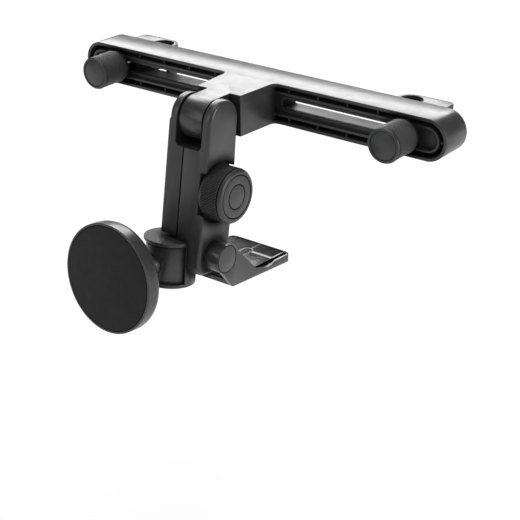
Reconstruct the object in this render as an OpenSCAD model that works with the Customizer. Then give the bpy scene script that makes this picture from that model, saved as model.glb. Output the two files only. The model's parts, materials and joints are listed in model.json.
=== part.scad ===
// Headrest mount with a round magnetic holder: a crossbar with two post clamps,
// a tilting two-shell arm, a folding foot, a swivel knuckle and a ball-jointed disc.
// Frame: origin at the middle of the crossbar's rear face, which bears on the headrest posts.
// +X to the user's right, +Y towards the headrest, +Z up.

/* [Crossbar] */
// Length of the crossbar
bar_len = 258; // [230:1:290]
// Height of the crossbar
bar_h = 24; // [23:0.5:26]
// Depth of the crossbar, front to back
bar_d = 22; // [21:0.5:25]
// Wall of the crossbar's rim
bar_wall = 2; // [1.8:0.1:2.4]
// Thickness of the rear web
web_t = 2.5; // [2:0.1:3]
// Height of the slot rail
rail_h = 14.8; // [14:0.1:15.5]
// Wall of the slot rail
rail_wall = 1.6; // [1.4:0.1:1.8]
// Height of the slots
slot_h = 6; // [5.6:0.1:6.6]
// Distance between the ribs that join rail and rim
rib_pitch = 19.6; // [16:0.2:24]

/* [Stem] */
// Width of the stem where it leaves the crossbar
stem_w = 34.6; // [32:0.2:37]
// Width of the stem at its shoulder
stem_tip_w = 30.8; // [29:0.2:32]
// Length of the stem, from the crossbar's front to its shoulder
stem_len = 29; // [24:0.5:36]
// Width of the hinge tongue
tongue_w = 16; // [14:0.2:17]

/* [Post clamps] */
// Distance of each clamp bolt from the middle
clamp_x = 103; // [95:0.5:106]
// Diameter of a headrest post
post_dia = 12; // [10:0.5:13]
// Height of a clamp jaw
jaw_h = 19; // [16:0.5:21]
// Diameter of a clamp knob
knob_dia = 20; // [18:0.5:21]
// Length of a clamp knob
knob_len = 20; // [15:0.5:22]
// Diameter of a clamp bolt
bolt_dia = 5; // [4:0.5:5]

/* [Arm] */
// Width of the arm
arm_w = 29; // [28:0.5:32]
// Depth of the arm
arm_d = 25; // [24:0.25:25.5]
// Distance from the hinge to the foot's pin
arm_len = 76; // [74:0.5:84]
// Forward lean of the arm at rest
arm_tilt = 8; // [4:1:12]
// Diameter of the hinge pin
pin_dia = 6; // [5:0.5:7]
// Distance from the hinge to the arm knob
lock_z = 39.5; // [37.5:0.5:41]
// Diameter of the arm knob
lock_dia = 32; // [26:0.5:33]
// Length of the arm knob
lock_len = 15.4; // [13:0.2:18]

/* [Foot] */
// Width of the foot
foot_w = 44.5; // [42:0.5:48]
// Length of the foot behind its pin
foot_len = 61; // [55:0.5:66]
// Thickness of the foot's floor and walls
foot_wall = 1.4; // [1.2:0.1:1.8]

/* [Swivel] */
// Diameter of the swivel housing
housing_dia = 31; // [29:0.2:31.4]
// Height of the swivel barrel
barrel_h = 22; // [20:0.5:23]
// Distance from the swivel axis to the ball
reach = 29.5; // [27:0.5:34]
// Diameter of the ball
ball_dia = 14; // [12:0.5:15]

/* [Disc] */
// Diameter of the disc
disc_dia = 62.5; // [56:0.5:70]
// Thickness of the disc
disc_t = 10; // [9.5:0.5:14]
// Number of magnets
magnets = 16; // [12:1:18]

/* [Hidden] */
$fn = 96;

// Clearances: between sliding faces, between turning faces, and round a turning pin
slide_gap = 0.25;
turn_gap = 0.3;
run_gap = 0.05;
// Overlap that lets a cut pass cleanly through a face
cut = 1;

// Crossbar
bar_r = bar_h / 2;
rail_r = rail_h / 2;
rail_recess = 0.5;
floor_recess = 2;
floor_t = 3;
rail_in = 15;
rail_end_gap = bar_r - rail_r;
rail_out = bar_len / 2 - rail_end_gap;
channel_r = rail_r - rail_wall;
slot_in = rail_in + 9;
slot_out = rail_out - 19;
rib_t = 1.2;
rib_front = 1;
first_rib = rail_in + 11.7;
stem_wall = 2.2;
stem_top = 2.5;
stem_fillet = 3.5;

// Hinge: the ears stand clear of the stem's shoulder
ear_r = arm_d / 2;
shoulder_y = -bar_d - stem_len;
hinge_y = shoulder_y - ear_r - 0.5;
barrel_r = bar_r;
pin_r = pin_dia / 2;
ear_gap = tongue_w + 2.4;
washer_t = 0.9;
fork_z = barrel_r + 3.5;
seam_x = -3;

// Post clamps
bolt_r = bolt_dia / 2;
head_r = bolt_r * 1.8;
head_t = 3.4;
post_r = post_dia / 2;
pad_t = 0.6;
jaw_wall = 2.5;
post_y = post_r + slide_gap;
hollow_r = post_r + pad_t;
hook_r = hollow_r + jaw_wall;
jaw_depth = post_y + hook_r;
post_in = 13;
jaw_out = 10;
jaw_corner = 3.5;
jaw_in = post_in + hook_r;
boss_len = 12;
boss_deep = 12;
bolt_end = bar_d + 12;
washer_r = rail_r + 1.6;
seat_y = -bar_d + rail_recess - slide_gap;
clamp_washer_t = 1.2;
knob_y = seat_y - clamp_washer_t - 0.1;
knob_r = knob_dia / 2;
knurls = 44;
knurl_depth = 0.5;
knurl_start = 1.5;
knurl_root = knurl_depth + 0.1;
knob_front = 1.6;
face_rim = 2.2;
insert_r = 5;
insert_len = 11;

// Arm, in its own frame: hinge axis at the origin, hanging down -Z
half_w = arm_w / 2;
half_d = arm_d / 2;
arm_foot = arm_len + 11.5;
arm_taper = 2;
corner_r = 6;
pin_half = half_w - 2.5;
seat_x = half_w - 4;
lock_r = lock_dia / 2;
lock_bolt_r = 3;
lock_head_r = 5.4;
lock_head_t = 3.6;
lock_knurls = 60;
lock_lip = 1.8;
lock_insert_r = 6;
lock_insert_len = 10;
cap_r = lock_r - 3.8;
cap_t = 1.6;
shell_wall = 2.3;
boss_r = 4.2;
screw_r = 1.5;
screw_head_r = 2.8;
screw_head_t = 2;

// Swivel, in the arm's frame
housing_r = housing_dia / 2;
housing_wall = 1.3;
swivel_barrel_r = housing_r - housing_wall - turn_gap;
swivel_x = -9.5;
swivel_y = -half_d + 1.5;
left_end = arm_len - 9;
screw_z = [-fork_z - 7.5, -left_end + 7];
cap_z = -left_end - 2.2;
plate_t = 2;
barrel_top = cap_z - plate_t - turn_gap;
barrel_bottom = barrel_top - barrel_h;
housing_bottom = barrel_bottom - turn_gap;
housing_mid = (barrel_top + barrel_bottom) / 2;
swivel_pin_r = 2.5;
wall_from = -14;
wall_to = 190;
swivel_turn = -8;
neck_r = 3.2;
stub_r = 6;
stub_len = 16;
stub_drop = 2;
stub_z = housing_mid - stub_drop;
ball_r = ball_dia / 2;
block_y = 4;

// Ball and disc
ball_x = swivel_x + reach * sin(swivel_turn);
ball_y = swivel_y - reach * cos(swivel_turn);
ball_z = stub_z;
collar_r = ball_r + 3;
collar_back = 4;
collar_mouth_r = ball_r - 1;
disc_r = disc_dia / 2;
disc_turn = -2;
disc_lean = 6;
disc_y = ball_r + 0.8;
flange_r = collar_r + 2.5;
flange_t = 1.6;
disc_wall = 2;
pad_r = disc_r - 1.2;
disc_pad_t = 1.4;
steel_t = 1;
magnet_r = 3.4;
magnet_t = 2.2;
magnet_ring = disc_r - 8;

// Foot, in its own frame: pin axis at the origin, reaching back along +Y
foot_pin_y = -2.3;
foot_pin_r = 4;
hub_r = 8.5;
foot_out = half_w + 10.5;
foot_in = foot_out - foot_w;
foot_front = 4.8;
foot_drop = 19.2;
foot_slope = 5.5;
foot_end_h = 4.9;
cheek_t = 2.5;
tray_h = 3;
tray_r = 3.5;
foot_rib_t = 1.2;
foot_rib_in = 4.2;
foot_middle = (foot_in + foot_out) / 2;
foot_boss_r = 3.7;
foot_boss_end = foot_len - foot_wall - 8.2;
// The scoop clears the arm knob when the foot is folded up
scoop_y = lock_z;
scoop_z = -0.8;
scoop_r = lock_r + 3.2;
scoop_t = 1.2;

body_black = [0.09, 0.09, 0.1];
soft_black = [0.03, 0.03, 0.035];
steel = [0.62, 0.63, 0.65];
brass = [0.75, 0.6, 0.3];

// Extrudes an X-Z outline forwards, from y = 0 to y = -depth
module front_extrude(depth) {
    rotate([90, 0, 0])
        linear_extrude(depth)
            children();
}

// Extrudes a Y-Z outline along X, from x = from to x = to
module side_extrude(from, to) {
    translate([from, 0, 0])
        rotate([90, 0, 90])
            linear_extrude(to - from)
                children();
}

// A cylinder along X, from x = from to x = to
module rod_x(r, from, to) {
    translate([from, 0, 0])
        rotate([0, 90, 0])
            cylinder(r = r, h = to - from);
}

// A cylinder along Y, from y = from down to y = to
module rod_y(r, from, to) {
    translate([0, from, 0])
        rotate([90, 0, 0])
            cylinder(r = r, h = from - to);
}

// A hexagonal prism along X
module hex_x(r, from, to) {
    translate([from, 0, 0])
        rotate([0, 90, 0])
            cylinder(r = r, h = to - from, $fn = 6);
}

// A bar with round ends, centred
module stadium(len, h) {
    square([len - h, h], center = true);
    for (side = [-1, 1])
        translate([side * (len - h) / 2, 0])
            circle(h / 2);
}

// A rectangle with round corners, between two corners
module round_box(low, high, r) {
    translate([low[0] + r, low[1]])
        square([high[0] - low[0] - 2 * r, high[1] - low[1]]);
    translate([low[0], low[1] + r])
        square([high[0] - low[0], high[1] - low[1] - 2 * r]);
    for (x = [low[0] + r, high[0] - r], y = [low[1] + r, high[1] - r])
        translate([x, y])
            circle(r);
}

// A toothed circle, for a knurled grip
module knurled(r, count, depth) {
    step = 360 / count;
    polygon([
        for (i = [0:count - 1], part = [[-0.32, 0], [0, 1], [0.14, 1], [0.46, 0]])
            let (a = (i + part[0]) * step, reach = r - depth * (1 - part[1]))
                reach * [cos(a), sin(a)]
    ]);
}

// One rail, seen from the front: square at the stem, round at the bar's end
module rail_outline(inset) {
    r = rail_r - inset;
    end = rail_out - rail_r;
    translate([rail_in + inset, -r])
        square([end - rail_in - inset, 2 * r]);
    translate([end, 0])
        circle(r);
}

module slot_outline() {
    translate([slot_in, -slot_h / 2])
        square([slot_out - slot_in, slot_h]);
    for (x = [slot_in, slot_out])
        translate([x, 0])
            circle(slot_h / 2);
}

// Both sides of the crossbar
module both_sides() {
    children();
    mirror([1, 0, 0])
        children();
}

module bar_rim() {
    difference() {
        front_extrude(bar_d)
            stadium(bar_len, bar_h);
        translate([0, -web_t, 0])
            front_extrude(bar_d)
                stadium(bar_len - 2 * bar_wall, bar_h - 2 * bar_wall);
    }
}

// Thin ribs that join the rail to the rim
module bar_ribs() {
    deep = bar_d - rib_front;
    for (x = [first_rib:rib_pitch:rail_out - rail_r])
        translate([x - rib_t / 2, -deep, -bar_r + bar_wall / 2])
            cube([rib_t, deep, bar_h - bar_wall]);
    translate([rail_out - rail_wall, -deep, -rib_t / 2])
        cube([rail_end_gap, deep, rib_t]);
}

module stem_plan(inset) {
    back = -bar_d + bar_wall;
    wide = stem_w / 2 - inset;
    narrow = stem_tip_w / 2 - inset;
    polygon([
        [-wide, back + inset],
        [wide, back + inset],
        [narrow, shoulder_y + inset],
        [-narrow, shoulder_y + inset]
    ]);
}

// Half the stem's width at a place along its length
function stem_half(y) =
    let (back = -bar_d + bar_wall, share = (y - shoulder_y) / (back - shoulder_y))
        (stem_tip_w + (stem_w - stem_tip_w) * share) / 2;

// Rounded inner corners where the rim's walls run into the stem
module stem_corners() {
    front = -bar_d - stem_fillet;
    side = stem_half(front);
    for (z = [-bar_r, bar_r - bar_wall])
        translate([0, 0, z])
            linear_extrude(bar_wall)
                difference() {
                    translate([side - 1, front])
                        square([stem_fillet + 1, stem_fillet + bar_wall / 2]);
                    translate([side + stem_fillet, front])
                        circle(stem_fillet);
                }
}

// The hollow stem, open underneath
module stem() {
    difference() {
        translate([0, 0, -bar_r])
            linear_extrude(bar_h)
                stem_plan(0);
        translate([0, 0, -bar_r - cut])
            linear_extrude(bar_h + cut - stem_top)
                stem_plan(stem_wall);
    }
    translate([-stem_wall / 2, shoulder_y, -bar_r])
        cube([stem_wall, stem_len, bar_h]);
}

module tongue() {
    difference() {
        side_extrude(-tongue_w / 2, tongue_w / 2) {
            translate([hinge_y, 0])
                circle(barrel_r);
            translate([hinge_y, -barrel_r])
                square([shoulder_y - hinge_y + stem_wall / 2, bar_h]);
        }
        translate([0, hinge_y, 0])
            rod_x(pin_r + run_gap, -tongue_w, tongue_w);
    }
}

module crossbar() {
    color(body_black)
    difference() {
        union() {
            bar_rim();
            both_sides()
                front_extrude(bar_d - rail_recess)
                    rail_outline(0);
            both_sides()
                bar_ribs();
            stem();
            both_sides()
                stem_corners();
            tongue();
        }
        both_sides() {
            translate([0, cut, 0])
                front_extrude(bar_d - rail_recess - floor_recess - floor_t + cut)
                    rail_outline(rail_wall);
            translate([0, -bar_d + rail_recess + floor_recess, 0])
                front_extrude(bar_d)
                    rail_outline(rail_wall);
            translate([0, cut, 0])
                front_extrude(bar_d + 2 * cut)
                    slot_outline();
        }
    }
}

// Post clamp pieces, built for the right-hand side round the bolt's axis
module clamp_side(side) {
    if (side > 0)
        translate([clamp_x, 0, 0])
            children();
    else
        mirror([1, 0, 0])
            translate([clamp_x, 0, 0])
                children();
}

module clamp_washer() {
    color(body_black)
    difference() {
        rod_y(washer_r, seat_y, seat_y - clamp_washer_t);
        rod_y(bolt_r + turn_gap, 0, seat_y - clamp_washer_t - cut);
    }
}

// The jaw from above: a block at the bolt and a finger that reaches round the post
module jaw_plan() {
    difference() {
        union() {
            round_box([-post_in - jaw_corner, slide_gap], [jaw_out, jaw_depth], jaw_corner);
            translate([-post_in, post_y])
                circle(hook_r);
            translate([-jaw_in, slide_gap])
                square([hook_r, post_y - slide_gap]);
        }
        translate([-post_in, post_y])
            circle(hollow_r);
        translate([-post_in - hollow_r, post_y - hook_r - cut])
            square([2 * hollow_r, hook_r + cut]);
        translate([-jaw_in - cut, slide_gap - hook_r])
            square([jaw_in + jaw_out + 2 * cut, hook_r]);
    }
}

module clamp_jaw() {
    color(body_black)
    difference() {
        union() {
            translate([0, 0, -jaw_h / 2])
                linear_extrude(jaw_h)
                    jaw_plan();
            translate([0, 1, 0])
                front_extrude(boss_deep + 1)
                    square([boss_len, 2 * (channel_r - slide_gap)], center = true);
        }
        rod_y(bolt_r + run_gap, jaw_depth + cut, -boss_deep - cut);
        translate([0, jaw_depth + cut, 0])
            rotate([90, 0, 0])
                cylinder(r = head_r + 0.2, h = head_t + cut + 0.3, $fn = 6);
    }
}

// Soft liner in the jaw's hollow
module clamp_jaw_pad() {
    color(soft_black)
    translate([-post_in, post_y, -jaw_h / 2 + 1])
        difference() {
            cylinder(r = hollow_r, h = jaw_h - 2);
            translate([0, 0, -cut])
                cylinder(r = post_r, h = jaw_h);
            translate([-2 * post_dia, -post_dia - 2, -cut])
                cube([4 * post_dia, post_dia + 2, jaw_h]);
        }
}

module clamp_bolt() {
    color(steel) {
        rod_y(bolt_r, jaw_depth - head_t, -bolt_end);
        translate([0, jaw_depth - 0.3, 0])
            rotate([90, 0, 0])
                cylinder(r = head_r, h = head_t, $fn = 6);
    }
}

module clamp_knob() {
    band_end = knob_y - knob_len + knob_front;
    color(body_black)
    difference() {
        union() {
            rod_y(knob_r - knurl_root, knob_y, knob_y - 2 * knurl_start);
            translate([0, knob_y - knurl_start, 0])
                front_extrude(knob_len - knob_front - knurl_start)
                    knurled(knob_r, knurls, knurl_depth);
            translate([0, band_end, 0])
                rotate([90, 0, 0])
                    cylinder(r1 = knob_r - knurl_root, r2 = knob_r - 1.2, h = knob_front);
        }
        rod_y(insert_r + run_gap, knob_y + cut, knob_y - insert_len - run_gap);
        rod_y(bolt_r + turn_gap, knob_y, knob_y - knob_len + 3);
        rod_y(knob_r - face_rim, band_end - knob_front + 0.3, band_end - knob_front - cut);
    }
}

module clamp_insert() {
    color(brass)
    difference() {
        rod_y(insert_r, knob_y, knob_y - insert_len);
        rod_y(bolt_r + run_gap, knob_y + cut, knob_y - insert_len - cut);
    }
}

// Places pieces of the arm: hinge axis at the origin, hanging down
module arm_frame() {
    translate([0, hinge_y, 0])
        rotate([-arm_tilt, 0, 0])
            children();
}

// Both shells from the side: round ears, and a front that leans a little outwards
module arm_outline() {
    front = half_d + arm_taper;
    circle(ear_r);
    polygon([
        [-front, -arm_foot + 2 * corner_r],
        [half_d, -arm_foot + 2 * corner_r],
        [half_d, 0],
        [-half_d, 0]
    ]);
    round_box([-front, -arm_foot], [half_d, -arm_foot + 3 * corner_r], corner_r);
}

// The opening between the ears, where the tongue sits
module fork_gap() {
    translate([0, arm_d, 0])
        front_extrude(2 * arm_d)
            round_box([-ear_gap / 2, -fork_z], [ear_gap / 2, 2 * ear_r], 3);
}

module hinge_bores() {
    rod_x(pin_r + run_gap, -pin_half - 0.2, pin_half + 0.2);
}

// Room for the swivel housing in the lower front of the arm
module swivel_room() {
    translate([swivel_x, swivel_y, housing_bottom - 4 * plate_t])
        cylinder(r = housing_r + turn_gap, h = cap_z - housing_bottom + 4 * plate_t + turn_gap);
    translate([-arm_w, -arm_d, -arm_foot - cut])
        cube([arm_w + seam_x, arm_d + block_y, arm_foot - left_end + cut]);
}

// Hollow of a shell between two x, with the bosses left standing
module shell_hollow(from, to) {
    difference() {
        side_extrude(from, to)
            round_box([-half_d + shell_wall, -left_end + 3], [half_d - shell_wall, -fork_z - 4], 2);
        for (z = screw_z)
            translate([0, 0, z])
                rod_x(boss_r, from - cut, to + cut);
        translate([0, 0, -lock_z])
            rod_x(boss_r + 2, from - cut, to + cut);
    }
}

module arm_left_shell() {
    color(body_black)
    arm_frame()
        difference() {
            side_extrude(-half_w, seam_x)
                arm_outline();
            fork_gap();
            hinge_bores();
            swivel_room();
            shell_hollow(-half_w + shell_wall, seam_x + cut);
            for (z = screw_z)
                translate([0, 0, z]) {
                    rod_x(screw_r + run_gap, -arm_w, arm_w);
                    rod_x(screw_head_r + 0.2, -arm_w, -half_w + screw_head_t + 1);
                }
            translate([0, 0, -lock_z]) {
                rod_x(lock_bolt_r + run_gap, -arm_w, arm_w);
                hex_x(lock_head_r + 0.2, -arm_w, -half_w + lock_head_t + 0.6);
            }
        }
}

module arm_right_shell() {
    color(body_black)
    arm_frame()
        difference() {
            side_extrude(seam_x + 0.15, half_w)
                arm_outline();
            fork_gap();
            hinge_bores();
            swivel_room();
            shell_hollow(seam_x - cut, seat_x - shell_wall);
            for (z = screw_z)
                translate([0, 0, z])
                    rod_x(screw_r + run_gap, -arm_w, seam_x + 9);
            translate([0, 0, -lock_z]) {
                rod_x(lock_bolt_r + run_gap, -arm_w, arm_w);
                rod_x(lock_r + 2, seat_x, arm_w);
            }
            translate([0, foot_pin_y, -arm_len])
                rod_x(foot_pin_r + run_gap, half_w - 8, arm_w);
        }
}

module hinge_pin() {
    color(steel)
    arm_frame()
        rod_x(pin_r, -pin_half, pin_half);
}

module hinge_washers() {
    middle = (tongue_w + ear_gap) / 4;
    color(soft_black)
    arm_frame()
        both_sides()
            difference() {
                rod_x(pin_r + 5, middle - washer_t / 2, middle + washer_t / 2);
                rod_x(pin_r + run_gap, 0, arm_w);
            }
}

module shell_screws() {
    color(steel)
    arm_frame()
        for (z = screw_z)
            translate([0, 0, z])
                difference() {
                    union() {
                        rod_x(screw_r, -half_w + screw_head_t, seam_x + 8);
                        rod_x(screw_head_r, -half_w + 1, -half_w + screw_head_t + 1);
                    }
                    for (turn = [0, 90])
                        rotate([turn, 0, 0])
                            translate([-half_w, -2, -0.35])
                                cube([2, 4, 0.7]);
                }
}

// The arm knob's pieces turn about an axis along X
module lock_frame() {
    arm_frame()
        translate([0, 0, -lock_z])
            children();
}

module arm_bolt() {
    color(steel)
    lock_frame() {
        rod_x(lock_bolt_r, -half_w + lock_head_t, seat_x + 9);
        hex_x(lock_head_r, -half_w + 0.5, -half_w + lock_head_t + 0.5);
    }
}

module arm_washer() {
    color(steel)
    lock_frame()
        difference() {
            rod_x(lock_r - 3, seat_x, seat_x + 0.8);
            rod_x(lock_bolt_r + run_gap, seat_x - cut, seat_x + 2);
        }
}

lock_from = seat_x + 0.8 + 0.1;
lock_to = lock_from + lock_len;

module arm_knob() {
    color(body_black)
    lock_frame()
        difference() {
            union() {
                rod_x(lock_r - knurl_root, lock_from, lock_from + 2 * knurl_start);
                side_extrude(lock_from + knurl_start, lock_to - lock_lip)
                    knurled(lock_r, lock_knurls, knurl_depth);
                translate([lock_to - lock_lip, 0, 0])
                    rotate([0, 90, 0])
                        cylinder(r1 = lock_r - knurl_root, r2 = lock_r - 1.3, h = lock_lip);
            }
            rod_x(lock_insert_r + run_gap, lock_from - cut, lock_from + lock_insert_len + run_gap);
            rod_x(cap_r + 0.4, lock_to - cap_t - 0.2, lock_to + cut);
        }
}

module arm_knob_insert() {
    color(brass)
    lock_frame()
        difference() {
            rod_x(lock_insert_r, lock_from, lock_from + lock_insert_len);
            rod_x(lock_bolt_r + run_gap, lock_from - cut, lock_from + lock_insert_len + cut);
        }
}

// Round cap in the knob's face, with one fine ring cut in it
module arm_knob_cap() {
    ring_r = cap_r * 0.6;
    color(body_black)
    lock_frame()
        difference() {
            rod_x(cap_r, lock_to - cap_t, lock_to - 0.1);
            difference() {
                rod_x(ring_r, lock_to - 0.5, lock_to + cut);
                rod_x(ring_r - 0.5, lock_to - cut, lock_to + 2);
            }
        }
}

// Places pieces of the foot: pin axis at the origin, level with the floor
module foot_frame() {
    arm_frame()
        translate([0, foot_pin_y, -arm_len])
            rotate([arm_tilt, 0, 0])
                children();
}

// The cheek that carries the pin, seen from the side
module foot_cheek() {
    circle(hub_r);
    polygon([
        [-hub_r + 0.4, -2.5],
        [foot_front, -foot_drop],
        [foot_len - tray_r, -foot_drop - foot_slope + foot_end_h / 2],
        [30, -foot_drop + 1.2],
        [27, -16.5],
        [hub_r * 0.707, hub_r * 0.707]
    ]);
}

// The tray's side outline, drawn in by inset and open at the top
module tray_side(inset) {
    rise = inset * 10;
    polygon([
        [foot_front + inset, -foot_drop + inset],
        [foot_len - inset, -foot_drop - foot_slope + inset],
        [foot_len - inset, -foot_drop - foot_slope + foot_end_h + rise],
        [foot_front + inset, -foot_drop + tray_h + rise]
    ]);
}

// The tray as a block with round rear corners, drawn in by inset
module tray_block(inset) {
    low = -foot_drop - foot_slope - cut;
    intersection() {
        side_extrude(foot_in + inset, foot_out - inset)
            tray_side(inset);
        translate([0, 0, low])
            linear_extrude(-low) {
                round_box([foot_in + inset, foot_front + inset],
                          [foot_out - inset, foot_len - inset], tray_r - inset);
                translate([foot_in + inset, foot_front + inset])
                    square([foot_w - 2 * inset, foot_len / 2]);
            }
    }
}

// The boss in the tray from above: straight sides and a round end
module foot_boss_outline(inset) {
    r = foot_boss_r - inset;
    end = foot_boss_end - foot_boss_r;
    translate([foot_middle, end])
        circle(r);
    translate([foot_middle - r, foot_front])
        square([2 * r, end - foot_front]);
}

// Three ribs along the tray, with the hollow boss on the middle one
module tray_ribs() {
    low = -foot_drop - foot_slope;
    intersection() {
        difference() {
            translate([0, 0, low])
                linear_extrude(-low) {
                    for (x = [foot_in + foot_rib_in, foot_middle, foot_out - foot_rib_in])
                        translate([x - foot_rib_t / 2, foot_front])
                            square([foot_rib_t, foot_len - foot_front]);
                    foot_boss_outline(0);
                }
            translate([0, 0, low - cut])
                linear_extrude(-low + 2 * cut)
                    foot_boss_outline(foot_rib_t);
        }
        tray_block(0.01);
    }
}

module scoop(r, from, to) {
    translate([0, scoop_y, scoop_z])
        rod_x(r, from, to);
}

// The tray's floor under the scoop, between the boss and the right rib
module scoop_floor() {
    from = foot_middle + foot_boss_r - foot_rib_t;
    intersection() {
        scoop(scoop_r + scoop_t, from, foot_out - foot_rib_in);
        tray_block(0.01);
    }
}

// A fine groove round the hub, on the cheek's outer face
module hub_groove() {
    difference() {
        rod_x(hub_r - 0.3, foot_out - 0.5, foot_out + cut);
        rod_x(hub_r - 0.8, foot_out - 1, foot_out + 2 * cut);
    }
}

module foot() {
    color(body_black)
    foot_frame()
        difference() {
            union() {
                difference() {
                    tray_block(0);
                    tray_block(foot_wall);
                }
                tray_ribs();
                scoop_floor();
                side_extrude(foot_out - cheek_t, foot_out)
                    foot_cheek();
                rod_x(hub_r, half_w + turn_gap, foot_out);
            }
            rod_x(foot_pin_r + run_gap, 0, foot_out - 1.2);
            scoop(scoop_r, foot_middle + foot_boss_r, foot_out + cut);
            hub_groove();
        }
}

module foot_pin() {
    color(steel)
    foot_frame()
        rod_x(foot_pin_r, half_w - 7.8, foot_out - 1.4);
}

// Places pieces that turn about the swivel's axis
module swivel_frame() {
    arm_frame()
        translate([swivel_x, swivel_y, 0])
            children();
}

// A ring sector that hugs the barrel from the right, the back and the left
module housing_wall_part(bottom, top) {
    reach = 2 * housing_r;
    difference() {
        translate([0, 0, bottom])
            cylinder(r = housing_r, h = top - bottom);
        translate([0, 0, bottom - cut])
            cylinder(r = housing_r - housing_wall, h = top - bottom + 2 * cut);
        translate([0, 0, bottom - cut])
            linear_extrude(top - bottom + 2 * cut)
                polygon([
                    [0, 0],
                    reach * [cos(wall_to), sin(wall_to)],
                    reach * [cos(225), sin(225)],
                    reach * [cos(315), sin(315)],
                    reach * [cos(wall_from), sin(wall_from)]
                ]);
    }
}

// Block that carries the housing on the arm's rear strip
module housing_block(bottom, top) {
    low_x = -half_w + 1 - swivel_x;
    high_x = seam_x - 0.1 - swivel_x;
    far_y = block_y - swivel_y;
    difference() {
        translate([low_x, 0, bottom])
            cube([high_x - low_x, far_y, top - bottom]);
        translate([0, 0, bottom - cut])
            cylinder(r = housing_r - housing_wall, h = top - bottom + 2 * cut);
    }
}

module swivel_housing_upper() {
    color(body_black)
    swivel_frame()
        difference() {
            union() {
                translate([0, 0, cap_z - plate_t])
                    cylinder(r = housing_r, h = plate_t);
                housing_wall_part(housing_mid + 0.1, cap_z - plate_t);
                housing_block(housing_mid + 0.1, cap_z - plate_t);
            }
            translate([0, 0, housing_mid])
                cylinder(r = swivel_pin_r + run_gap, h = cap_z - 1 - housing_mid);
        }
}

module swivel_housing_lower() {
    color(body_black)
    swivel_frame()
        difference() {
            union() {
                translate([0, 0, housing_bottom - plate_t])
                    cylinder(r = housing_r, h = plate_t);
                housing_wall_part(housing_bottom, housing_mid - 0.1);
                housing_block(housing_bottom, housing_mid - 0.1);
            }
            translate([0, 0, housing_bottom - plate_t - cut])
                cylinder(r = swivel_pin_r + run_gap, h = plate_t + 2 * cut);
        }
}

module swivel_pin() {
    top = cap_z - 1.2;
    bottom = housing_bottom - plate_t;
    color(steel)
    swivel_frame()
        translate([0, 0, bottom])
            cylinder(r = swivel_pin_r, h = top - bottom);
}

// Turns a piece to the direction in which the stub leaves the barrel
module stub_frame() {
    swivel_frame()
        translate([0, 0, stub_z])
            rotate([0, 0, swivel_turn])
                children();
}

module swivel_barrel() {
    color(body_black)
    difference() {
        union() {
            swivel_frame()
                translate([0, 0, barrel_bottom])
                    cylinder(r = swivel_barrel_r, h = barrel_h);
            stub_frame()
                rod_y(stub_r, 0, -stub_len);
        }
        swivel_frame()
            translate([0, 0, barrel_bottom - cut])
                cylinder(r = swivel_pin_r + run_gap, h = barrel_h + 2 * cut);
        stub_frame()
            rod_y(neck_r + run_gap, -6, -stub_len - cut);
    }
}

module ball_stud() {
    color(steel)
    stub_frame() {
        rod_y(neck_r, -6.2, -reach + ball_r / 2);
        translate([0, -reach, 0])
            sphere(ball_r);
    }
}

// Places pieces round the ball: ball at the origin, disc facing -Y in this frame
module ball_frame() {
    arm_frame()
        translate([ball_x, ball_y, ball_z])
            rotate([arm_tilt, 0, 0])
                rotate([-disc_lean, 0, disc_turn])
                    children();
}

// Collar round the ball, with a narrower mouth that keeps the ball in
module ball_collar() {
    flange_y = disc_y + disc_wall + turn_gap;
    seat_r = ball_r + 0.1;
    color(body_black)
    ball_frame()
        rotate([90, 0, 0])
            rotate_extrude()
                polygon([
                    [seat_r, -1.5],
                    [collar_mouth_r, -collar_back],
                    [collar_r, -collar_back],
                    [collar_r, flange_y],
                    [flange_r, flange_y],
                    [flange_r, flange_y + flange_t],
                    [0, flange_y + flange_t],
                    [0, seat_r],
                    [seat_r, seat_r]
                ]);
}

module disc_housing() {
    color(body_black)
    ball_frame()
        translate([0, -disc_y, 0])
            difference() {
                rotate([90, 0, 0])
                    rotate_extrude()
                        polygon([
                            [0, 0],
                            [disc_r - 2.4, 0],
                            [disc_r - 0.7, 0.7],
                            [disc_r, 2.4],
                            [disc_r, disc_t - 0.6],
                            [disc_r - 0.6, disc_t],
                            [0, disc_t]
                        ]);
                rod_y(pad_r - 1.6, -disc_wall, -disc_t - cut);
                rod_y(pad_r, -disc_t + disc_pad_t, -disc_t - cut);
                rod_y(collar_r + turn_gap, cut, -disc_wall - cut);
            }
}

// Steel backing plate behind the magnets
module disc_plate() {
    front = disc_y + disc_t - disc_pad_t - magnet_t;
    color(steel)
    ball_frame()
        rod_y(pad_r - 1.8, -front + steel_t, -front);
}

module disc_magnets() {
    front = disc_y + disc_t - disc_pad_t - magnet_t;
    color(steel)
    ball_frame()
        for (i = [0:magnets - 1])
            rotate([0, i * 360 / magnets, 0])
                translate([magnet_ring, -front, 0])
                    rod_y(magnet_r, 0, -magnet_t + 0.1);
}

module disc_pad() {
    color(soft_black)
    ball_frame()
        rod_y(pad_r - 0.15, -disc_y - disc_t + disc_pad_t, -disc_y - disc_t);
}

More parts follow.
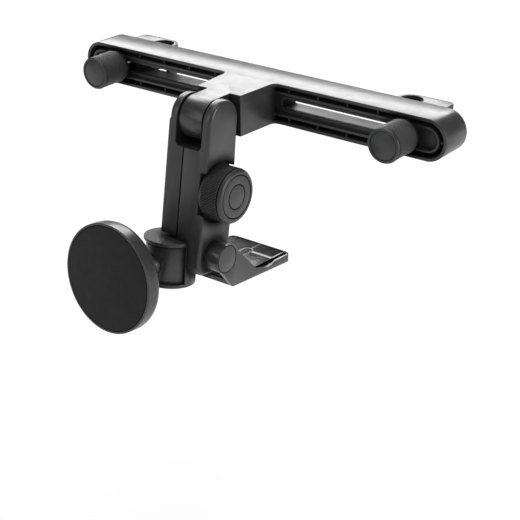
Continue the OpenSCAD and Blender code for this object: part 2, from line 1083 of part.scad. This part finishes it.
crossbar();
clamp_side(-1) clamp_washer();  // left_washer
clamp_side(-1) clamp_jaw();  // left_jaw
clamp_side(-1) clamp_jaw_pad();  // left_jaw_pad
clamp_side(-1) clamp_bolt();  // left_bolt
clamp_side(-1) clamp_knob();  // left_knob
clamp_side(-1) clamp_insert();  // left_knob_insert
clamp_side(1) clamp_washer();  // right_washer
clamp_side(1) clamp_jaw();  // right_jaw
clamp_side(1) clamp_jaw_pad();  // right_jaw_pad
clamp_side(1) clamp_bolt();  // right_bolt
clamp_side(1) clamp_knob();  // right_knob
clamp_side(1) clamp_insert();  // right_knob_insert
arm_left_shell();
arm_right_shell();
hinge_pin();
hinge_washers();
shell_screws();
arm_bolt();
arm_washer();
arm_knob();
arm_knob_insert();
arm_knob_cap();
foot();
foot_pin();
swivel_housing_upper();
swivel_housing_lower();
swivel_pin();
swivel_barrel();
ball_stud();
ball_collar();
disc_housing();
disc_plate();
disc_magnets();
disc_pad();
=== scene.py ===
"""The looks of the headrest mount: materials, softened edges, fine grips, light and camera."""

import json
import math

import bmesh
import bpy
from mathutils import Matrix, Vector

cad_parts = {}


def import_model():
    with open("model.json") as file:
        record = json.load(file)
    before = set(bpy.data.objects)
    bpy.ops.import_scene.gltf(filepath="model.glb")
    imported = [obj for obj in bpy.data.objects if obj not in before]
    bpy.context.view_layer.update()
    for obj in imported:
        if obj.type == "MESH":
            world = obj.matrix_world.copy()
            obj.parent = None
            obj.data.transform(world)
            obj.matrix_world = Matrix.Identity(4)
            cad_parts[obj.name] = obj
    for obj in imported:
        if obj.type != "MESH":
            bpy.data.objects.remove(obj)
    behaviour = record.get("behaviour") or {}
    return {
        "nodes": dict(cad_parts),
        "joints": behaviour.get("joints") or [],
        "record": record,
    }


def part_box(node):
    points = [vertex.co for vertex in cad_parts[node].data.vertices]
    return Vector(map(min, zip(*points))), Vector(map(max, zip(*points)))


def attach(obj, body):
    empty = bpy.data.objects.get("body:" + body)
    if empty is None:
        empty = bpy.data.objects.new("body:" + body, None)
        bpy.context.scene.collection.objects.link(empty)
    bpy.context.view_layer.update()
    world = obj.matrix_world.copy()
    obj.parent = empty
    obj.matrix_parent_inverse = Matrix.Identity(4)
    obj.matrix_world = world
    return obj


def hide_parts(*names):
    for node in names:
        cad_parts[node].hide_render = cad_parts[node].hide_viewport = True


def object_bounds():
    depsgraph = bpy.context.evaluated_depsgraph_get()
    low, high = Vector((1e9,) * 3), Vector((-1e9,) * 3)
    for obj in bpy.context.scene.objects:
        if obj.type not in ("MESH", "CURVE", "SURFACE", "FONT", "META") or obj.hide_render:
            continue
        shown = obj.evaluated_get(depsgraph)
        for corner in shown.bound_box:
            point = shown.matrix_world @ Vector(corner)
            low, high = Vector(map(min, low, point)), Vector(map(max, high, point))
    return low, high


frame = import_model()
CAD_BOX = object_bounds()
MM = 0.001

# Camera, from the fit to the photograph: place in metres, angles in degrees
CAMERA_AT = Vector((0.4352, -0.5887, 0.2456))
CAMERA_AZIMUTH = 37.108
CAMERA_ELEVATION = 26.02
CAMERA_ROLL = -0.269
SENSOR = 36.0
FOCAL_PIXELS = 1302.25
IMAGE_SIDE = 520
PRINCIPAL_Y = 258.39

# Floor, in metres, its tone, and the strengths of floor and world, of which 1 is white
FLOOR_DROP = 90 * MM
FLOOR_HALF = 6.0
FLOOR_TONE = 0.85
FLOOR_GLOW = 0.8
WORLD_AMBIENT = 0.12
WORLD_REFLECTED = 0.1

# Softboxes: name, place, width and height in metres, watts
LIGHT_AIM = (0.0, -0.05, -0.03)
SOFTBOXES = [
    ("back_softbox", (-0.75, 0.95, 0.85), 1.5, 0.9, 34),
    ("top_softbox", (0.1, -0.1, 1.3), 1.0, 1.0, 8),
    ("front_softbox", (-0.5, -1.3, 0.6), 0.9, 0.9, 5),
    ("right_softbox", (1.4, 0.2, 0.3), 0.5, 0.9, 11),
]

# Noise: its middle range, its scales, and the height of the plastics' grain
NOISE_LOW = 0.3
NOISE_HIGH = 0.7
CLOUD_SCALE = 35.0
PATCH_SCALE = 220.0
GRAIN_SCALE = 2600.0
GRAIN_HEIGHT = 0.06 * MM
PLATE_CLOUD_SCALE = 60.0
PLATE_PATCH_SCALE = 700.0

# Recesses of the plastics, with shade painted into their colour: how far the occlusion looks, the
# open shares that count as fully shaded and as open, and the painted shade's colour factor and the
# roughness there
CAVITY_REACH = 9 * MM
CAVITY_SAMPLES = 8
CAVITY_DEEP = 0.75
CAVITY_OPEN = 0.93
CAVITY_PAINTED_SHADE = 0.3
CAVITY_ROUGH = 1.0

# Cleaning and smoothing of the solids' meshes
WELD = 0.001 * MM
FLAT_ANGLE = math.radians(0.2)
SHARP_ANGLE = math.radians(32)
SMOOTH_ANGLE = math.radians(48)


def new_nodes(name):
    """An empty node material with a Principled shader; returns material, nodes, links, shader."""
    material = bpy.data.materials.new(name)
    material.use_nodes = True
    nodes, links = material.node_tree.nodes, material.node_tree.links
    return material, nodes, links, nodes["Principled BSDF"]


def noise(nodes, links, coordinates, scale, detail=3.0):
    texture = nodes.new("ShaderNodeTexNoise")
    texture.inputs["Scale"].default_value = scale
    texture.inputs["Detail"].default_value = detail
    links.new(coordinates, texture.inputs["Vector"])
    return texture.outputs["Fac"]


def spread(nodes, links, value, low, high):
    """Maps a texture's middle range to low..high."""
    ranged = nodes.new("ShaderNodeMapRange")
    ranged.inputs["From Min"].default_value = NOISE_LOW
    ranged.inputs["From Max"].default_value = NOISE_HIGH
    ranged.inputs["To Min"].default_value = low
    ranged.inputs["To Max"].default_value = high
    links.new(value, ranged.inputs["Value"])
    return ranged.outputs["Result"]


def tint(nodes, links, value, dark, light):
    """Mixes two colours by a value from 0 to 1."""
    mix = nodes.new("ShaderNodeMix")
    mix.data_type = "RGBA"
    mix.inputs["A"].default_value = (*dark, 1)
    mix.inputs["B"].default_value = (*light, 1)
    links.new(value, mix.inputs["Factor"])
    return mix.outputs["Result"]


def openness(nodes, links):
    """Nought in recesses and narrow gaps, one on open faces: the mask for the shade painted into the
    plastics.
    """
    shade = nodes.new("ShaderNodeAmbientOcclusion")
    shade.samples = CAVITY_SAMPLES
    shade.inputs["Distance"].default_value = CAVITY_REACH
    ranged = nodes.new("ShaderNodeMapRange")
    ranged.inputs["From Min"].default_value = CAVITY_DEEP
    ranged.inputs["From Max"].default_value = CAVITY_OPEN
    links.new(shade.outputs["AO"], ranged.inputs["Value"])
    return ranged.outputs["Result"]


def paint_shade_in_cavities(nodes, links, colour, exposed):
    """Paints shade into a colour in recesses, where the faces are occluded."""
    mix = nodes.new("ShaderNodeMix")
    mix.data_type = "RGBA"
    mix.blend_type = "MULTIPLY"
    mix.inputs["Factor"].default_value = 1.0
    # painted shade: the colour is multiplied down towards this factor where the occlusion mask is
    # nought
    painted_shade_tone = (CAVITY_PAINTED_SHADE, CAVITY_PAINTED_SHADE, CAVITY_PAINTED_SHADE)
    links.new(colour, mix.inputs["A"])
    links.new(tint(nodes, links, exposed, painted_shade_tone, (1.0, 1.0, 1.0)), mix.inputs["B"])
    return mix.outputs["Result"]


def duller_in_cavities(nodes, links, rough, exposed):
    """Takes the gloss off recesses."""
    mix = nodes.new("ShaderNodeMapRange")
    mix.inputs["To Min"].default_value = CAVITY_ROUGH
    links.new(exposed, mix.inputs["Value"])
    links.new(rough, mix.inputs["To Max"])
    return mix.outputs["Result"]


def plastic(name, shade, rough, grain=0.1, specular=0.5):
    """Moulded plastic or rubber: a fine etched grain, uneven gloss, a slight shift of tone, and shade
    painted into its recesses.
    """
    material, nodes, links, shader = new_nodes(name)
    place = nodes.new("ShaderNodeTexCoord").outputs["Object"]
    cloudy = spread(nodes, links, noise(nodes, links, place, CLOUD_SCALE), 0.0, 1.0)
    dark = (shade * 0.92, shade * 0.92, shade * 0.95)
    light = (shade * 1.08, shade * 1.08, shade * 1.11)
    colour = tint(nodes, links, cloudy, dark, light)
    exposed = openness(nodes, links)
    # painted shade: the base colour darkens in recesses and gaps by occlusion
    links.new(paint_shade_in_cavities(nodes, links, colour, exposed), shader.inputs["Base Color"])
    patches = noise(nodes, links, place, PATCH_SCALE)
    patchy = spread(nodes, links, patches, rough - 0.04, rough + 0.04)
    links.new(duller_in_cavities(nodes, links, patchy, exposed), shader.inputs["Roughness"])
    shader.inputs["Specular IOR Level"].default_value = specular
    bump = nodes.new("ShaderNodeBump")
    bump.inputs["Strength"].default_value = grain
    bump.inputs["Distance"].default_value = GRAIN_HEIGHT
    links.new(noise(nodes, links, place, GRAIN_SCALE, 2.0), bump.inputs["Height"])
    links.new(bump.outputs["Normal"], shader.inputs["Normal"])
    return material


def metal(name, colour, rough):
    """Plated or turned metal with faint clouding and uneven gloss."""
    material, nodes, links, shader = new_nodes(name)
    place = nodes.new("ShaderNodeTexCoord").outputs["Object"]
    shader.inputs["Metallic"].default_value = 1.0
    cloudy = spread(nodes, links, noise(nodes, links, place, PLATE_CLOUD_SCALE), 0.0, 1.0)
    dark = tuple(c * 0.9 for c in colour)
    links.new(tint(nodes, links, cloudy, dark, colour), shader.inputs["Base Color"])
    patches = noise(nodes, links, place, PLATE_PATCH_SCALE)
    links.new(spread(nodes, links, patches, rough - 0.06, rough + 0.06), shader.inputs["Roughness"])
    return material


MATERIALS = {
    "crossbar_plastic": plastic("bar_plastic", 0.035, 0.32),
    "jaw_plastic": plastic("jaw_moulding", 0.033, 0.34),
    "arm_plastic": plastic("arm_moulding", 0.037, 0.34),
    "swivel_plastic": plastic("barrel_moulding", 0.033, 0.28),
    "knob_plastic": plastic("knob_moulding", 0.032, 0.36),
    "foot_plastic": plastic("foot_moulding", 0.037, 0.24),
    "disc_plastic": plastic("disc_moulding", 0.035, 0.30),
    "disc_rubber": plastic("disc_face_rubber", 0.016, 0.72, grain=0.25, specular=0.25),
    "soft_pad": plastic("liner_rubber", 0.018, 0.65, grain=0.2, specular=0.3),
    "steel": metal("zinc_plate", (0.62, 0.63, 0.65), 0.3),
    "magnet_plating": metal("nickel_plate", (0.70, 0.70, 0.72), 0.15),
    "brass": metal("turned_brass", (0.75, 0.60, 0.30), 0.28),
}

SLOT_OF = {part["node"]: part["material_slot"] for part in frame["record"]["subparts"]}
JOINTS = {joint["name"]: joint for joint in frame["joints"]}
BODIES = frame["record"]["behaviour"]["bodies"]
BODY_OF = {node: body for body, nodes in BODIES.items() for node in nodes}

# Softened edges: steps, the usual width in millimetres, and the nodes with another one
EDGE_STEPS = 3
USUAL_EDGE = 0.35
EDGE = {
    "foot": 0.12,
    "crossbar": 0.45,
    "left_jaw": 0.6,
    "right_jaw": 0.6,
    "disc_pad": 0.2,
}


def paint(obj, material):
    obj.data.materials.clear()
    obj.data.materials.append(material)


def soften(obj, width):
    """Joins the solid's faces, cleans its flat ones and rounds its edges."""
    weld = obj.modifiers.new("Weld", "WELD")
    weld.merge_threshold = WELD
    flat = obj.modifiers.new("Flat", "DECIMATE")
    flat.decimate_type = "DISSOLVE"
    flat.angle_limit = FLAT_ANGLE
    edge = obj.modifiers.new("Edge", "BEVEL")
    edge.limit_method = "ANGLE"
    edge.angle_limit = SHARP_ANGLE
    edge.width = width * MM
    edge.segments = EDGE_STEPS
    edge.use_clamp_overlap = False
    edge.miter_outer = "MITER_ARC"
    edge.harden_normals = True
    for face in obj.data.polygons:
        face.use_smooth = True


def dress_nodes():
    """Gives every CAD node its finish and soft edges."""
    for name, obj in frame["nodes"].items():
        paint(obj, MATERIALS[SLOT_OF[name]])
        soften(obj, EDGE.get(name, USUAL_EDGE))


def stand_for(obj, node):
    """Gives a piece the place, finish and body of the CAD node that it replaces."""
    paint(obj, MATERIALS[SLOT_OF[node]])
    bpy.context.scene.collection.objects.link(obj)
    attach(obj, BODY_OF[node])
    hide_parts(node)


def rounded(corners, steps=5):
    """A half profile with soft corners; each corner is (along, radius, rounding) in millimetres."""
    path = []
    for i, (along, radius, rounding) in enumerate(corners):
        here = Vector((along, radius))
        if not rounding:
            path.append(here)
            continue
        before = Vector(corners[i - 1][:2]) - here
        after = Vector(corners[(i + 1) % len(corners)][:2]) - here
        start = here + before.normalized() * rounding
        end = here + after.normalized() * rounding
        for step in range(steps + 1):
            t = step / steps
            path.append(start * (1 - t) ** 2 + here * 2 * t * (1 - t) + end * t ** 2)
    return path


def band(start, end, gap):
    """Places along the axis at an even gap, both ends included."""
    count = round((end - start) / gap)
    return [start + (end - start) * i / count for i in range(count + 1)]


def on_axis(at, axis):
    """The frame of a turned piece: its axis is local X."""
    x = Vector(axis).normalized()
    y = Vector((0, 0, 1)).cross(x).normalized()
    z = x.cross(y)
    turn = Matrix((x, y, z)).transposed().to_4x4()
    return Matrix.Translation(at) @ turn @ Matrix.Scale(MM, 4)


def turned(node, placing, profile, around, grip=None):
    """A closed turned piece that replaces the node.

    The profile runs from pole to pole, or round a ring; grip cuts into its radius.
    """
    bm = bmesh.new()
    rings = []
    for along, radius in profile:
        if radius < 1e-6:
            rings.append([bm.verts.new(placing @ Vector((along, 0, 0)))])
            continue
        ring = []
        for i in range(around):
            angle = math.tau * i / around
            r = radius - (grip(angle, along) if grip else 0)
            point = Vector((along, r * math.cos(angle), r * math.sin(angle)))
            ring.append(bm.verts.new(placing @ point))
        rings.append(ring)
    if len(rings[0]) > 1:
        rings.append(rings[0])
    for a, b in zip(rings, rings[1:]):
        for i in range(around):
            j = (i + 1) % around
            corners = [a[i % len(a)], a[j % len(a)], b[j % len(b)], b[i % len(b)]]
            bm.faces.new(list(dict.fromkeys(corners)))
    bmesh.ops.recalc_face_normals(bm, faces=bm.faces)
    mesh = bpy.data.meshes.new(node + "_turned")
    bm.to_mesh(mesh)
    bm.free()
    for face in mesh.polygons:
        face.use_smooth = True
    mesh.set_sharp_from_angle(angle=SMOOTH_ANGLE)
    stand_for(bpy.data.objects.new(node + "_turned", mesh), node)


# Knurls of both knobs, in millimetres, with points across each ridge
RIDGE_EASE = 0.5
RIDGE_STEP = 0.3
RIDGE_POINTS = 8

# Clamp knob, in millimetres: knurl, plain collar and front, bore, and the ring's share of the face
KNOB_KNURLS = 42
KNOB_DEPTH = 0.55
KNOB_LEAN = -0.6
KNOB_CROSS = 0.6
KNOB_COLLAR = 2.2
KNOB_FRONT = 1.3
KNOB_BORE = 5.05
KNOB_BORE_DEEP = 11.05
KNOB_RING = 0.8

# Lock knob, in millimetres: knurl, plain collar and lip, bore, and the cap's seat
LOCK_KNURLS = 58
LOCK_DEPTH = 0.7
LOCK_LEAN = 0.45
LOCK_CROSS = 0.2
LOCK_COLLAR = 1.6
LOCK_LIP = 3.2
LOCK_BORE = 6.05
LOCK_BORE_DEEP = 10.05
CAP_SEAT = 1.8
CAP_CLEARANCE = 0.5


def wave(x):
    """A triangular wave from 0 to 1 and back, with period 1."""
    return abs(2 * (x % 1) - 1)


def diamonds(start, end, count, lean, depth, cross):
    """A diagonal knurl between two places on the axis: one set of ridges, crossed by a weaker one."""
    def cut(angle, along):
        if along < start or along > end:
            return 0
        turn = angle / math.tau * count
        first = wave(turn + lean * along)
        second = wave(turn - lean * along)
        edge = min(1, (along - start) / RIDGE_EASE, (end - along) / RIDGE_EASE)
        return depth * edge * (1 - first * (1 - cross * (1 - second)))
    return cut


def clamp_knob(side):
    """Clamp knob: smooth collar, diamond knurl, rounded front with a fine ring."""
    node = side + "_knob"
    low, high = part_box(node)
    length = (high.y - low.y) / MM
    r = (high.x - low.x) / 2 / MM
    middle = (low + high) / 2
    placing = on_axis((middle.x, high.y, middle.z), (0, -1, 0))
    grip_start, grip_end = KNOB_COLLAR, length - KNOB_FRONT
    ring = r * KNOB_RING
    back = rounded([
        (KNOB_BORE_DEEP, 0, 0),
        (KNOB_BORE_DEEP, KNOB_BORE, 0),
        (0, KNOB_BORE, 0.3),
        (0, r - 0.7, 0.4),
        (grip_start, r - 0.5, 0),
    ])
    grips = [Vector((along, r)) for along in band(grip_start + 0.1, grip_end, RIDGE_STEP)]
    front = rounded([
        (grip_end + 0.1, r - 0.3, 0),
        (length - 0.9, r - 0.1, 0.25),
        (length, r - 0.6, 0.45),
        (length, ring + 0.3, 0),
        (length - 0.35, ring, 0),
        (length - 0.1, ring - 0.35, 0),
        (length - 0.1, 0, 0),
    ])
    knurl = diamonds(grip_start, grip_end + 0.05, KNOB_KNURLS, KNOB_LEAN, KNOB_DEPTH, KNOB_CROSS)
    turned(node, placing, back + grips + front, KNOB_KNURLS * RIDGE_POINTS, knurl)


def lock_knob():
    """Lock knob: diagonal ridges, a groove behind a rounded lip, and a seat for the cap."""
    node = "arm_knob"
    low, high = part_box(node)
    length = (high.x - low.x) / MM
    r = (high.z - low.z) / 2 / MM
    cap_low, cap_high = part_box("arm_knob_cap")
    seat = (cap_high.z - cap_low.z) / 2 / MM + CAP_CLEARANCE
    at = JOINTS["arm_knob_turn"]["pos_m"]
    placing = on_axis((low.x, at[1], at[2]), (1, 0, 0))
    grip_start, grip_end = LOCK_COLLAR, length - LOCK_LIP
    back = rounded([
        (LOCK_BORE_DEEP, 0, 0),
        (LOCK_BORE_DEEP, LOCK_BORE, 0),
        (0, LOCK_BORE, 0.3),
        (0, r - 0.9, 0.5),
        (grip_start, r - 0.5, 0),
    ])
    grips = [Vector((along, r)) for along in band(grip_start + 0.1, grip_end, RIDGE_STEP)]
    front = rounded([
        (grip_end + 0.4, r - 0.4, 0.2),
        (grip_end + 0.6, r - 1.2, 0.2),
        (grip_end + 1.1, r - 1.2, 0.2),
        (grip_end + 1.3, r - 0.2, 0.4),
        (length, r - 1.4, 1.2),
        (length, seat, 0.3),
        (length - CAP_SEAT, seat, 0),
        (length - CAP_SEAT, 0, 0),
    ])
    knurl = diamonds(grip_start, grip_end + 0.05, LOCK_KNURLS, LOCK_LEAN, LOCK_DEPTH, LOCK_CROSS)
    turned(node, placing, back + grips + front, LOCK_KNURLS * RIDGE_POINTS, knurl)


# Disc and collar, in millimetres, with places along the axis counted from the ball
DISC_BACK = 7.8
DISC_THICK = 10.0
DISC_WALL = 2.0
DISC_POINTS = 192
RIM_LIP = 1.2
RIM_STEP = 1.6
PAD_THICK = 1.4
COLLAR_R = 10.0
COLLAR_BACK = -4.0
FLANGE = (10.1, 11.7, 12.5)
SEAT_R = 7.1
MOUTH_R = 6.0
COLLAR_RIBS = 26
RIB_POINTS = 10
RIB_STEP = 0.5
RIB_EASE = 0.8
RIB_DEPTH = 0.6
RIB_FLANK = 1.6


def ball_axis():
    return on_axis(JOINTS["disc_spin"]["pos_m"], JOINTS["disc_spin"]["axis"])


def disc_rim():
    """The disc's body: a shell with a rounded back and a thin lip round the face."""
    low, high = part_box("disc_housing")
    r = (high.z - low.z) / 2 / MM
    back, front = DISC_BACK, DISC_BACK + DISC_THICK
    lip = r - RIM_LIP
    inner = lip - RIM_STEP
    profile = rounded([
        (back, COLLAR_R + 0.3, 0),
        (back, r - 1.8, 1.6),
        (back + 2.2, r, 1.8),
        (front, r, 0.35),
        (front, lip, 0.2),
        (front - PAD_THICK, lip, 0),
        (front - PAD_THICK, inner, 0),
        (back + DISC_WALL, inner, 0),
        (back + DISC_WALL, COLLAR_R + 0.3, 0),
    ])
    turned("disc_housing", ball_axis(), profile, DISC_POINTS)


def ribbed_collar():
    """The ball's clamping nut, ribbed for the fingers, with its flange inside the disc."""
    start, end, flange_r = FLANGE
    ribs_from, ribs_to = COLLAR_BACK + 1.2, DISC_BACK - 0.8
    outside = [Vector((along, COLLAR_R)) for along in band(ribs_from, ribs_to, RIB_STEP)]
    before = rounded([
        (-1.5, SEAT_R, 0),
        (COLLAR_BACK, MOUTH_R, 0.3),
        (COLLAR_BACK, COLLAR_R - 0.2, 0.6),
        (ribs_from - 0.3, COLLAR_R, 0),
    ])
    after = rounded([
        (ribs_to + 0.3, COLLAR_R, 0),
        (start, COLLAR_R, 0),
        (start, flange_r, 0),
        (end, flange_r, 0),
        (end, 0, 0),
    ])
    hollow = [Vector((SEAT_R, 0)), Vector((SEAT_R, SEAT_R))]

    def ribs(angle, along):
        if along < ribs_from or along > ribs_to:
            return 0
        edge = min(1, (along - ribs_from) / RIB_EASE, (ribs_to - along) / RIB_EASE)
        return RIB_DEPTH * edge * (1 - min(1, RIB_FLANK * wave(angle / math.tau * COLLAR_RIBS)))

    profile = hollow + before + outside + after
    turned("ball_collar", ball_axis(), profile, COLLAR_RIBS * RIB_POINTS, ribs)


# Arm shells: rounding of their outer edges, where the outline runs from the hinge, the reach of
# the lock knob's seat, which keeps its own edge, and the opening of the seam at each shell
SHELL_ROUND = 2.2 * MM
SHELL_STEPS = 5
OUTLINE_Y = 9 * MM
OUTLINE_TOP = 8 * MM
OUTLINE_LOW = -84 * MM
SEAT_CUT = 18.3 * MM
SEAM_OPEN = 0.3 * MM
ON_FACE = 0.02 * MM


def clean_copy(node):
    """A copy of the node's mesh with its faces joined and its flat ones cleaned."""
    bm = bmesh.new()
    bm.from_mesh(frame["nodes"][node].data)
    bmesh.ops.remove_doubles(bm, verts=bm.verts, dist=WELD)
    bmesh.ops.dissolve_limit(bm, angle_limit=FLAT_ANGLE, verts=bm.verts, edges=bm.edges)
    return bm


def rounded_copy(bm, node, edges):
    """Rounds the chosen edges well and the others as usual, and replaces the node."""
    bmesh.ops.bevel(bm, geom=edges, offset=SHELL_ROUND, offset_type="OFFSET", segments=SHELL_STEPS,
                    profile=0.5, affect="EDGES", clamp_overlap=False)
    mesh = bpy.data.meshes.new(node + "_rounded")
    bm.to_mesh(mesh)
    bm.free()
    obj = bpy.data.objects.new(node + "_rounded", mesh)
    stand_for(obj, node)
    soften(obj, USUAL_EDGE)


def rounded_shell(node):
    """One arm shell with its outer edges well rounded and its seam a little open."""
    hinge = Vector(JOINTS["arm_tilt"]["pos_m"])
    up = Vector(JOINTS["swivel_turn"]["axis"]).normalized()
    back = up.cross(Vector((-1, 0, 0)))
    lock = Vector(JOINTS["arm_knob_turn"]["pos_m"])
    low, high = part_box(node)
    outer, seam = (high.x, low.x) if high.x > -low.x else (low.x, high.x)

    def in_outline(point):
        y, z = (point - hinge).dot(back), (point - hinge).dot(up)
        from_lock = math.hypot(point.y - lock.y, point.z - lock.z)
        edge = abs(y) > OUTLINE_Y or z > OUTLINE_TOP or z < OUTLINE_LOW
        return edge and from_lock > SEAT_CUT

    bm = clean_copy(node)
    chosen = []
    for edge in bm.edges:
        a, b = edge.verts
        flat = abs(a.co.x - outer) < ON_FACE and abs(b.co.x - outer) < ON_FACE
        if flat and len(edge.link_faces) == 2 and in_outline((a.co + b.co) / 2):
            chosen.append(edge)
    for vert in bm.verts:
        if abs(vert.co.x - seam) < ON_FACE:
            vert.co.x += math.copysign(SEAM_OPEN, outer)
    rounded_copy(bm, node, chosen)


def camera():
    data = bpy.data.cameras.new("camera")
    data.sensor_width = SENSOR
    data.lens = FOCAL_PIXELS / IMAGE_SIDE * SENSOR
    data.shift_y = (PRINCIPAL_Y - IMAGE_SIDE / 2) / IMAGE_SIDE
    data.clip_start = 0.01
    data.clip_end = 50
    obj = bpy.data.objects.new("camera", data)
    bpy.context.scene.collection.objects.link(obj)
    turn = Matrix.Rotation(math.radians(CAMERA_AZIMUTH), 4, "Z")
    tip = Matrix.Rotation(math.radians(90 - CAMERA_ELEVATION), 4, "X")
    roll = Matrix.Rotation(math.radians(CAMERA_ROLL), 4, "Z")
    obj.matrix_world = Matrix.Translation(CAMERA_AT) @ turn @ tip @ roll
    bpy.context.scene.camera = obj


def softbox(name, at, width, height, watts):
    """A rectangular lamp that faces the object."""
    data = bpy.data.lights.new(name, "AREA")
    data.shape = "RECTANGLE"
    data.size = width
    data.size_y = height
    data.energy = watts
    obj = bpy.data.objects.new(name, data)
    bpy.context.scene.collection.objects.link(obj)
    obj.location = at
    obj.rotation_euler = (Vector(LIGHT_AIM) - Vector(at)).to_track_quat("-Z", "Y").to_euler()


def seen_as_white(nodes, links):
    """One for rays from the camera and for reflections, and nought for others."""
    path = nodes.new("ShaderNodeLightPath")
    either = nodes.new("ShaderNodeMath")
    either.operation = "MAXIMUM"
    links.new(path.outputs["Is Camera Ray"], either.inputs[0])
    links.new(path.outputs["Is Glossy Ray"], either.inputs[1])
    return either.outputs["Value"]


def floor():
    """A plain pale floor below the part, which keeps the part's shadow."""
    mesh = bpy.data.meshes.new("floor")
    low = CAD_BOX[0].z - FLOOR_DROP
    signs = ((-1, -1), (1, -1), (1, 1), (-1, 1))
    corners = [(x * FLOOR_HALF, y * FLOOR_HALF, low) for x, y in signs]
    mesh.from_pydata(corners, [], [(0, 1, 2, 3)])
    obj = bpy.data.objects.new("floor", mesh)
    bpy.context.scene.collection.objects.link(obj)
    material, nodes, links, shader = new_nodes("pale_floor")
    shader.inputs["Base Color"].default_value = (FLOOR_TONE, FLOOR_TONE, FLOOR_TONE, 1)
    shader.inputs["Roughness"].default_value = 0.9
    shader.inputs["Specular IOR Level"].default_value = 0.1
    glow = nodes.new("ShaderNodeEmission")
    glow.inputs["Strength"].default_value = 1.0
    share = nodes.new("ShaderNodeMath")
    share.operation = "MULTIPLY"
    share.inputs[1].default_value = FLOOR_GLOW
    links.new(seen_as_white(nodes, links), share.inputs[0])
    mix = nodes.new("ShaderNodeMixShader")
    links.new(share.outputs["Value"], mix.inputs["Fac"])
    links.new(shader.outputs["BSDF"], mix.inputs[1])
    links.new(glow.outputs["Emission"], mix.inputs[2])
    links.new(mix.outputs["Shader"], nodes["Material Output"].inputs["Surface"])
    mesh.materials.append(material)


def world():
    """White surroundings for the camera, and a dim even light for everything else."""
    surroundings = bpy.data.worlds.new("studio")
    bpy.context.scene.world = surroundings
    surroundings.use_nodes = True
    nodes, links = surroundings.node_tree.nodes, surroundings.node_tree.links
    background = nodes["Background"]
    background.inputs["Color"].default_value = (1, 1, 1, 1)
    path = nodes.new("ShaderNodeLightPath")
    reflected = nodes.new("ShaderNodeMapRange")
    reflected.inputs["To Min"].default_value = WORLD_AMBIENT
    reflected.inputs["To Max"].default_value = WORLD_REFLECTED
    links.new(path.outputs["Is Glossy Ray"], reflected.inputs["Value"])
    seen = nodes.new("ShaderNodeMath")
    seen.operation = "MAXIMUM"
    links.new(path.outputs["Is Camera Ray"], seen.inputs[0])
    links.new(reflected.outputs["Result"], seen.inputs[1])
    links.new(seen.outputs["Value"], background.inputs["Strength"])


def studio():
    for box in SOFTBOXES:
        softbox(*box)
    bpy.context.scene.view_settings.view_transform = "Standard"


dress_nodes()
for side in ("left", "right"):
    clamp_knob(side)
    rounded_shell(f"arm_{side}_shell")
lock_knob()
disc_rim()
ribbed_collar()
camera()
floor()
world()
studio()
